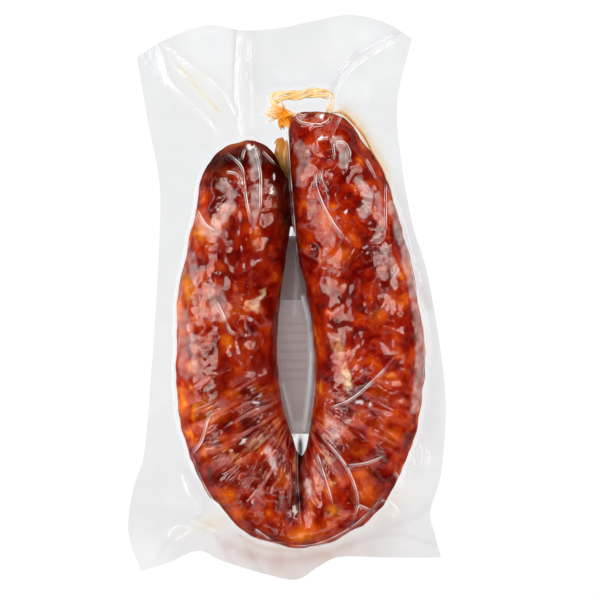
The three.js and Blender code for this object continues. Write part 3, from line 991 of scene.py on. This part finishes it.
# %% [markdown]
# A film's look changes from place to place. Where it is pulled tight over the edge of the meat it
# mirrors nothing. Painted highlights whiten its folds, the wrinkles' crests, a thin line round the
# meat, streaks in the gap, sparkles and curls, and where it isn't quite down on the meat it is
# cloudy, with painted sheen in those veils. Grease and the sausage's own colour tint it beside the
# meat, and painted shade darkens lines beside the folds and the right leg, and the gap's bottom.
# All this is painted on the sheet's points as colour attributes, because it goes by place and not by
# a repeating pattern.

# %% Where the film doesn't mirror
WALL_RINGS = 7
# Each field is x, y, half width, half height, angle and the share of the mirror that it takes.
LIGHT_FIELDS = [
    (29, 88, 7, 4, -0.4, 0.9), (-48, -88, 7, 6, 0, 0.9), (-28, 70, 3.5, 9, 0.7, 0.6),
    (-26.5, 85, 10, 8, -0.1, 1), (-21.5, 77, 3, 8, 0.6, 0.7), (17.5, 86, 5, 9, 0, 0.6),
    (24.5, 71, 6, 3.5, 0, 0.7), (33, 76, 8, 6, 0.6, 0.4), (38.4, -63.6, 1.6, 1.3, 0.4, 1),
    (36.4, -73.4, 2, 1.4, 0.3, 1), (-35, -79, 13, 1.8, 0.35, 0.7), (-33, -57, 1.6, 3.4, 0.5, 0.9),
    (-38, -70, 9, 1.6, -0.2, 0.5), (46.5, -55, 2.6, 5, 0, 0.5), (-13, 62, 4, 9, 0, 0.6),
    (40, -60, 7, 9, 0, 0.35), (2, 76, 5, 3, 0, 0.5), (-2.6, 61.8, 3.6, 4, 0, 0.9),
    (4, -59.5, 1, 8, 0, 0.75), (13, 22, 4, 8.5, 0.2, 0.45), (-3.8, 42, 2.4, 9, 0, 0.6),
    (-25.5, 43.5, 2.6, 6, 0.2, 0.5),
]
near_meat = as_sheet(on_meat * 1.0, row, column)
for _ in range(WALL_RINGS):
    near_meat = neighbour_mean(near_meat)
wall = np.clip(6 * near_meat[row, column], 0, 1) * (1 - on_meat)
corner = spot(plan, (-45, 83), 8, 8)
matt = np.maximum(0.75 * wall, 0.9 * corner)
for x, y, wide, high, angle, share in LIGHT_FIELDS:
    matt = np.maximum(matt, share * np.clip(1.5 * spot(plan, (x, y), wide, high, angle), 0, 1))
across, out, window = fan_frame(plan)
paint(front.data, "bend", np.column_stack([across, out, matt]), window * on_meat)
print("matt on a share of", round(float(matt.mean()), 2), "of the film")

# %% How far each point is from a fold
FOLD_REACH = 1.6


def nearest_fold(plan, lines):
    """The signed distance to the nearest fold, and how strong that fold is, for each point."""
    signed = np.full(len(plan), 9.0)
    strength = np.zeros(len(plan))
    for line, height, _ in lines:
        away, share = distance_to(line, plan, FOLD_REACH)
        dense, _ = even_line(line, LINE_POINTS)
        step = np.minimum((share * (LINE_POINTS - 1)).astype(int), LINE_POINTS - 2)
        way = dense[step + 1] - dense[step]
        offset = plan - dense[step]
        side = np.where(way[:, 0] * offset[:, 1] - way[:, 1] * offset[:, 0] < 0, -1, 1)
        here = away < np.minimum(abs(signed), FOLD_REACH)
        fade = smooth_step(0, 0.12, share) * (1 - smooth_step(0.7, 1, share))
        fade = fade * (1 - smooth_step(0.9, FOLD_REACH, away))
        signed[here] = (away * side)[here]
        strength[here] = (min(1.0, 1.6 * height) * fade)[here]
    return signed, strength


signed, strength = nearest_fold(plan, FOLDS_ON_RIM + FOLDS_ON_SAUSAGE)
strength *= np.where(on_meat, 1.0, 0.6)
broken = np.clip(0.8 + 0.8 * noise(plan, 3.5, 77), 0.25, 1)
paint(front.data, "fold", np.column_stack([signed, strength * broken, on_meat]), np.ones(len(plan)))
print("points on a fold:", int((strength > 0.1).sum()))

# %% Painted highlights: veils with painted sheen, sparkles, curls and streaks
# Veils and streaks are a line, its half width and how white it is. Sparkles and curled patches
# are a middle, half width and half height, and how white they are, sparkles after an angle. All
# are painted highlights; the veils are also cloudy film that stands off the meat.
VEILS_AND_SHEEN = [
    ([(35.6, 31), (38, 22), (40.6, 12), (43, 0), (44.8, -14), (44.6, -26), (43, -38)], 2, 0.32),
    ([(-33.6, 18), (-35.6, 8), (-36.6, -2)], 1.2, 0.2),
    ([(-11.2, 48.8), (-10.8, 44.5), (-10.6, 40.5)], 2, 0.34), ([(-10.5, 36.5), (-10.6, 28.5)], 2, 0.3),
    ([(-18.9, 30.4), (-22, 26.5), (-24.6, 22)], 2.4, 0.3), ([(-30, 26), (-27.4, 22.6)], 2.2, 0.26),
    ([(-21.5, 37.5), (-18.6, 34.5)], 2.2, 0.24), ([(-32, 14), (-31, 7)], 1.8, 0.22),
    ([(17, 52.2), (18.8, 48.5), (18.9, 44.5)], 1.9, 0.34), ([(4.4, 50.5), (6, 46), (5, 39)], 2.6, 0.18),
    ([(24.2, 39), (27.4, 33.5), (25.6, 28)], 2, 0.28), ([(30.6, 34), (31.6, 26), (30, 19)], 1.3, 0.26),
    ([(-36, -6), (-34, -14), (-33, -24)], 3.6, 0.2), ([(-24, 2), (-22, -6)], 3, 0.2),
    ([(14, -42), (16.5, -46.5)], 2, 0.22), ([(-6.4, -51), (-4.2, -57)], 1.3, 0.34),
    ([(6.8, -62), (7.4, -66.5)], 1.2, 0.28), ([(33, 16), (36.5, 8)], 1.8, 0.24),
]
SPARKLES = [
    ((-12, 50.6), 1.5, 0.9, -0.3, 0.95), ((-5.2, 36), 0.5, 1.9, 0.1, 0.85),
    ((-4.4, 40.6), 0.45, 1.4, 0.2, 0.7), ((11.6, 60.7), 0.9, 1, 0, 0.9),
    ((11.2, 53.2), 1.2, 0.5, 0.2, 0.75), ((-23, 29.4), 0.7, 0.8, 0, 0.7),
    ((2.6, -71.4), 0.5, 2, 0, 0.7), ((-10.4, -35.6), 1.8, 0.4, 0.35, 0.5),
    ((-14.4, -48), 2, 0.45, 0.6, 0.45), ((23.8, -35), 1.8, 0.4, -0.1, 0.45),
    ((28, -35.8), 1.4, 0.45, 0.1, 0.5), ((19.8, 28.5), 0.4, 1.2, 0.5, 0.6),
]
CURLED = [
    (12.5, 20, 6, 13, 1), (-29, -3, 6, 14, 0.9), (-22, 34, 6, 7, 0.9), (31, 6, 9, 14, 0.3),
    (-12, -8, 6, 12, 0.5), (24, -30, 10, 12, 0.5), (-8, -66, 12, 8, 0.5),
]
STREAKS = [
    ([(5.6, 0), (8.2, -11), (8.2, -24), (6.8, -38), (5.8, -45.5)], 0.9, 0.85),
    ([(-1.6, -30), (0.6, -39), (2.2, -47)], 0.7, 0.7), ([(3.2, 19), (3.4, 8), (2.4, -6)], 0.8, 0.25),
    ([(-1.8, 2), (-2.6, -14), (-1.8, -30), (2, -46)], 0.7, 0.25), ([(2.9, 27), (2.6, 20)], 0.9, 0.6),
]
GAP_HALF = 12
# A broken pale line one ring out from the meat is a painted reflection.
next_to_meat = neighbour_mean(as_sheet(on_meat * 1.0, row, column))
rim = (next_to_meat[row, column] > 0) * (1 - on_meat)
second_ring = (neighbour_mean(next_to_meat)[row, column] > 0) * (1 - on_meat) - rim
line_here = np.clip(0.55 + 0.9 * noise(plan, 7, 87), 0.1, 1)
line_here *= 0.28 + 0.32 * smooth_step(30, 60, -plan[:, 1])
white = second_ring * line_here * (abs(plan[:, 0] - GAP_X) > GAP_HALF)
# Streaks of painted highlight on the film in the gap between the legs.
for line, reach, most in STREAKS:
    white = np.maximum(white, most * beside(plan, line, reach) * (1 - on_meat))
# Sparkles are painted glints.
jagged = swirled(plan, 1.3, 85, 0.8)
for centre, wide, high, angle, most in SPARKLES:
    bright = 3 * spot(jagged, centre, wide, high, angle) - 1.1
    white = np.maximum(white, most * np.clip(bright, 0, 1))
# Veils: cloudy film where it stands off the meat, with painted sheen.
torn = np.clip(0.8 + 0.7 * noise(plan, 2.2, 83), 0.2, 1) * on_meat
for line, reach, most in VEILS_AND_SHEEN:
    away, _ = distance_to(line, swirled(plan, 2.5, 81, 0.7), 2 * reach)
    white = np.maximum(white, 0.8 * most * torn * (1 - smooth_step(0.7 * reach, reach, away)))
# Curls are painted highlights on the crinkled film.
curls = np.clip(1 - abs(noise(swirled(plan, 6, 61, 1.5), 4.2, 63)) / 0.12, 0, 1)
for x, y, wide, high, share in CURLED:
    white = np.maximum(white, 0.24 * share * curls * spot(plan, (x, y), wide, high) * on_meat)
print("milky on a share of", round(float(white.mean()), 3), "of the film")

# %% The film's tints
CLEAR = (0.985, 0.988, 0.992)
# Each tinted line is the line, its half width and the colour that the light takes on it. The grey
# lines beside folds on the flange and beside the right leg are painted shade.
TINTED_LINES = [
    ([(-17, -83), (-4, -91), (10, -91), (22, -87), (30, -82), (34, -76)], 6, (0.93, 0.88, 0.875)),
    ([(38, 36), (43, 20), (48, 0), (50, -20), (49, -40), (44, -58)], 3.5, (0.945, 0.915, 0.915)),
    ([(-21, -84.3), (-12.6, -88), (-2.4, -89.4), (11.2, -88), (21.4, -84.3)], 1.8, (0.93, 0.87, 0.85)),
    ([(-16, -81.3), (-8.5, -85.3), (4.4, -86.7)], 0.9, (0.92, 0.86, 0.8)),
    ([(-24.5, -80.9), (-18.7, -90.1)], 1, (0.94, 0.93, 0.93)),
    ([(-14.3, -84.3), (-8.5, -94.5)], 0.9, (0.93, 0.91, 0.91)),
    ([(-34.3, -58.8), (-27.9, -69), (-29.6, -74.1)], 1.4, (0.955, 0.955, 0.955)),
    ([(23.1, -82.6), (41.8, -75.8), (48.6, -70.7)], 1.2, (0.955, 0.95, 0.95)),
    ([(18, -85.3), (36.7, -80.9), (50.3, -84.3)], 1, (0.95, 0.945, 0.945)),
    ([(-44, -88), (-38, -80), (-30, -75)], 1.2, (0.955, 0.955, 0.96)),
    (FOLDS_ON_RIM[5][0], 6.5, (0.988, 0.978, 0.955)), (FOLDS_ON_RIM[5][0], 0.42, (0.99, 0.88, 0.58)),
    (FOLDS_ON_RIM[1][0], 3, (0.955, 0.95, 0.935)), (FOLDS_ON_RIM[7][0], 1.2, (0.9, 0.9, 0.91)),
    ([(18.8, 63), (24.6, 57.4), (28.6, 50.4), (32.6, 43.2), (34, 39)], 1.7, (0.9, 0.72, 0.5)),
    ([(20.5, 64), (26, 58), (29.8, 51), (33.2, 44.2)], 2.2, (0.99, 0.94, 0.86)),
    ([(34, 36), (38.5, 24), (43, 10), (48, -3)], 2.2, (0.9, 0.88, 0.88)),
    ([(-17.7, 91.5), (-18.2, 72), (-17, 60)], 0.8, (0.88, 0.88, 0.89)),
]


def tinted(mesh, plan, fields, white):
    """Colours the mesh's points: each field is a share for each point, and the colour there."""
    colour = np.tile(CLEAR, (len(plan), 1))
    for share, tint in fields:
        colour *= 1 - share[:, None] * (1 - np.array(tint))
    paint(mesh, "tint", colour, white)


patchy = np.clip(0.7 + 0.5 * noise(plan, 6, 71), 0, 1)
tints = [
    (np.clip(0.5 + 0.8 * noise(plan, 13, 72), 0, 1), (0.978, 0.980, 0.982)),
    (np.clip(0.3 + 0.9 * noise(swirled(plan, 8, 75, 2), 5, 73), 0, 1), (0.982, 0.982, 0.982)),
    (np.clip(wall - rim, 0, 1), (0.945, 0.95, 0.955)),
    (corner, (0.905, 0.91, 0.92)),
    # A nearly black painted shadow at the bottom of the gap between the legs.
    (np.clip(1.8 * spot(plan, (4.5, -51.6), 0.75, 3.0), 0, 1), (0.10, 0.09, 0.09)),
    (smooth_step(30, 80, -plan[:, 1]) * (1 - spot(plan, (-49, -88), 10, 8)), (0.975, 0.955, 0.95)),
    (spot(plan, (4, -90), 24, 8) * patchy, (0.90, 0.78, 0.72)),
    (spot(plan, (-24.5, -76.5), 8, 2.6, 0.42) * patchy, (0.96, 0.85, 0.66)),
    (spot(plan, (35, -70), 7, 4, 0.8) * patchy, (0.975, 0.91, 0.80)),
]
tints += [(beside(plan, line, reach), tint) for line, reach, tint in TINTED_LINES]
tinted(front.data, plan, tints, white)
print(len(tints), "tints")

# %% [markdown]
# The back sheet needs less detail, because it lies flat on the label and the table. It is a
# coarser grid over the same outline, made the same way from below, and its rim is bridged to the
# front's, so that the bag is one closed skin.

# %% The back sheet
FILM_GAP = 0.35
BACK_COLUMNS = 84
BACK_ROWS = 126
BACK_SHAPE = (BACK_ROWS + 1, BACK_COLUMNS + 1)
BACK_ROUNDS = 8
LIES_AT = 0.12
label_low, label_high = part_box("label")

back, back_row, back_column, back_plan = film_grid("film_back", BACK_COLUMNS, BACK_ROWS)
nothing = np.zeros((len(back_plan), 3))
tinted(back.data, back_plan, [], nothing[:, 0])
paint(back.data, "fold", nothing, nothing[:, 0])
paint(back.data, "bend", nothing, nothing[:, 0])
below = heights_over(contents, back_plan, from_above=False)
over_label = np.ones(len(back_plan))
for axis in (0, 1):
    low, high = label_low[axis] / MM - 1.0, label_high[axis] / MM + 1.0
    over_label *= smooth_step(low - 2, low, back_plan[:, axis])
    over_label *= 1 - smooth_step(high, high + 2, back_plan[:, axis])
ground = LIES_AT + over_label * (label_high.z / MM + 0.05)
rest = as_sheet(welded_height(back_plan) - FILM_GAP, back_row, back_column, BACK_SHAPE)
obstacle = as_sheet(-below, back_row, back_column, BACK_SHAPE)
hung = -relax(obstacle, -rest, BACK_ROUNDS, TIGHTNESS)
hung = hung[back_row, back_column] + folds(back_plan) * np.where(np.isfinite(below), 0, 1)
set_coordinates(back.data, np.column_stack([back_plan, np.maximum(hung, ground)]) * MM)
print("back sheet", len(back_plan), "points")

# %% The welded rim
select_only(back)
bpy.ops.object.mode_set(mode="EDIT")
bpy.ops.mesh.select_all(action="SELECT")
bpy.ops.mesh.flip_normals()
bpy.ops.object.mode_set(mode="OBJECT")
front.select_set(True)
bpy.context.view_layer.objects.active = front
bpy.ops.object.join()
film = bpy.context.object
film.name = "bag_film"
bpy.ops.object.mode_set(mode="EDIT")
bpy.ops.mesh.select_all(action="DESELECT")
bpy.ops.mesh.select_non_manifold()
bpy.ops.mesh.bridge_edge_loops()
bpy.ops.mesh.select_all(action="DESELECT")
bpy.ops.object.mode_set(mode="OBJECT")
bpy.ops.object.shade_smooth_by_angle(angle=np.radians(70))
triangles = sum(len(f.vertices) - 2 for f in film.data.polygons)
print("bag film", triangles, "triangles")

# %% [markdown]
# Clear film is almost nothing but a mirror: it lets light straight through, and throws back a
# few parts in a hundred of it, more where it is seen edge on. So the shader mixes Transparent
# with a nearly sharp Glossy, and Layer Weight gives the share. A glass shader would bend the
# view and hide the lamps from the meat, which a film a tenth of a millimetre thick doesn't do.

# %% Lines and wrinkles in the film
film_material, tree, output = new_material("clear_film")
tint, highlights_and_veils = painted(tree, "tint")
fold = add_node(tree, "ShaderNodeSeparateColor", Color=painted(tree, "fold")[0])
offset, fold_strength, over_meat = fold.outputs
bend = add_node(tree, "ShaderNodeSeparateColor", Color=painted(tree, "bend")[0])
plain = millimetres(tree)


def line_at(place, half):
    """1 on the line that runs beside a fold at this place, 0 from half a width away."""
    away = calculate(tree, "ABSOLUTE", calculate(tree, "SUBTRACT", offset, place))
    profile = add_node(tree, "ShaderNodeMapRange", {"interpolation_type": "SMOOTHSTEP"}, Value=away,
                       From_Min=half, From_Max=0.0)
    return profile.outputs[0]


ridges, bent_here = wrinkle_lines(tree)
fine = cloud(tree, bent(tree, plain, 2.0, 3.0), 0.55, 2.0)
height = calculate(tree, "MULTIPLY", line_at(0.0, 0.75), fold_strength)
height = mixed(tree, fine, 0.28, height)
height = mixed(tree, calculate(tree, "MULTIPLY", ridges, bent_here), 1.7, height)
bump = add_node(tree, "ShaderNodeBump", Strength=1.0, Distance=0.35 * MM, Height=height)
print("film relief", len(tree.nodes), "nodes")

# %% Clear film
REDDENED = (1, 0.81, 0.70, 1)
SHARP = 0.07
BLURRED = 0.22
mirrored = mix_colours(tree, over_meat, WHITE, REDDENED)
sharp = add_node(tree, "ShaderNodeBsdfGlossy", Color=mirrored, Roughness=SHARP, Normal=bump.outputs[0])
soft = add_node(tree, "ShaderNodeBsdfGlossy", Color=mirrored, Roughness=BLURRED, Normal=bump.outputs[0])
mirror = mix_shaders(tree, 0.45, sharp.outputs[0], soft.outputs[0])
facing = add_node(tree, "ShaderNodeLayerWeight", Blend=0.5)
steep = calculate(tree, "POWER", facing.outputs["Facing"], 4.0)
share = calculate(tree, "MULTIPLY_ADD", steep, 0.14, 0.075, clamp=True)
share = calculate(tree, "MULTIPLY", share, mixed(tree, bend.outputs[2], -1.0, None, 1.0))
wetness = cloud(tree, bent(tree, plain, 3.0, 4.0), 0.32, 3.0, 0.6, 0.8)
uneven = add_node(tree, "ShaderNodeMix", {"data_type": "FLOAT"}, Factor=over_meat)
feed(tree, uneven.inputs[2:4], (1.0, mixed(tree, wetness, 3.2, None, -0.74)))
share = calculate(tree, "MULTIPLY", share, uneven.outputs[0], clamp=True)
clear = add_node(tree, "ShaderNodeBsdfTransparent", Color=tint)
wet = mix_shaders(tree, share, clear.outputs[0], mirror)
print("clear film", len(tree.nodes), "nodes")

# %% Painted highlights and cloudy veils
HIGHLIGHT_ON_TABLE = (0.97, 0.975, 0.98, 1)
HIGHLIGHT_ON_MEAT = (1.0, 0.86, 0.80, 1)
# A white diffuse stands for painted highlights, and for the cloudy veils where the film stands off.
highlight_colour = mix_colours(tree, over_meat, HIGHLIGHT_ON_TABLE, HIGHLIGHT_ON_MEAT)
highlight_bsdf = add_node(tree, "ShaderNodeBsdfDiffuse", Color=highlight_colour)
# Painted highlights beside each fold's line and on the wrinkles' crests, added to what is painted.
lines = mixed(tree, line_at(-0.42, 0.24), 0.45, line_at(0.20, 0.20))
highlight_share = mixed(tree, calculate(tree, "MULTIPLY", lines, fold_strength), 1.0, highlights_and_veils)
crest = calculate(tree, "MULTIPLY", calculate(tree, "POWER", ridges, 3.0), bent_here)
highlight_share = mixed(tree, crest, 0.10, highlight_share)
skin = mix_shaders(tree, highlight_share, wet, highlight_bsdf.outputs[0])
tree.links.new(skin, output.inputs["Surface"])
film.data.materials.append(film_material)
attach(film, "root")
for piece in (film, sausage, twine):
    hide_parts("vacuum_bag")
print("the film, the sausage and the twine take the place of the plain bag")

# %% [markdown]
# The label is a sheet of coated paper behind the sausage. The CAD node is already the sheet, so
# it only gets its print. What shows of it are flat fields of one colour, one above the other, and
# rows of small print. A ramp without blending over the sheet's height makes the fields, and plain
# bars stand for the print. Its words are left off.

# %% Label paper
LABEL_FIELDS = [
    (0.00, (0.92, 0.88, 0.87)), (0.062, (0.77, 0.64, 0.63)), (0.660, (0.76, 0.70, 0.69)),
    (0.672, (0.47, 0.335, 0.33)), (0.985, (0.92, 0.88, 0.87)),
]
BAR_PITCH = 3.2
BARS = [(0.0, (1, 1, 1)), (0.36, (0, 0, 0))]
BARS_HERE = [(0.0, (0, 0, 0)), (0.24, (0.17, 0.17, 0.17)), (0.56, (0, 0, 0))]
INK = (0.30, 0.24, 0.25, 1)
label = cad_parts["label"]
low_y, high_y = label_low.y / MM, label_high.y / MM

paper, tree, output = new_material("label_paper")
plain = millimetres(tree)
y = add_node(tree, "ShaderNodeSeparateXYZ", Vector=plain).outputs[1]
height = calculate(tree, "MULTIPLY_ADD", y, 1 / (high_y - low_y), -low_y / (high_y - low_y))
row_share = calculate(tree, "FRACT", calculate(tree, "MULTIPLY", y, 1 / BAR_PITCH))
bars = ramp(tree, row_share, BARS, "CONSTANT")
ink = calculate(tree, "MULTIPLY", bars, ramp(tree, height, BARS_HERE, "CONSTANT"))
colour = mix_colours(tree, ink, ramp(tree, height, LABEL_FIELDS, "CONSTANT"), INK)
matt_surface(tree, output, colour, cloud(tree, plain, 2.0, 4.0), 0.15, 0.05, 0.55)
label.data.materials.clear()
label.data.materials.append(paper)
print("label", round(high_y - low_y), "mm high")
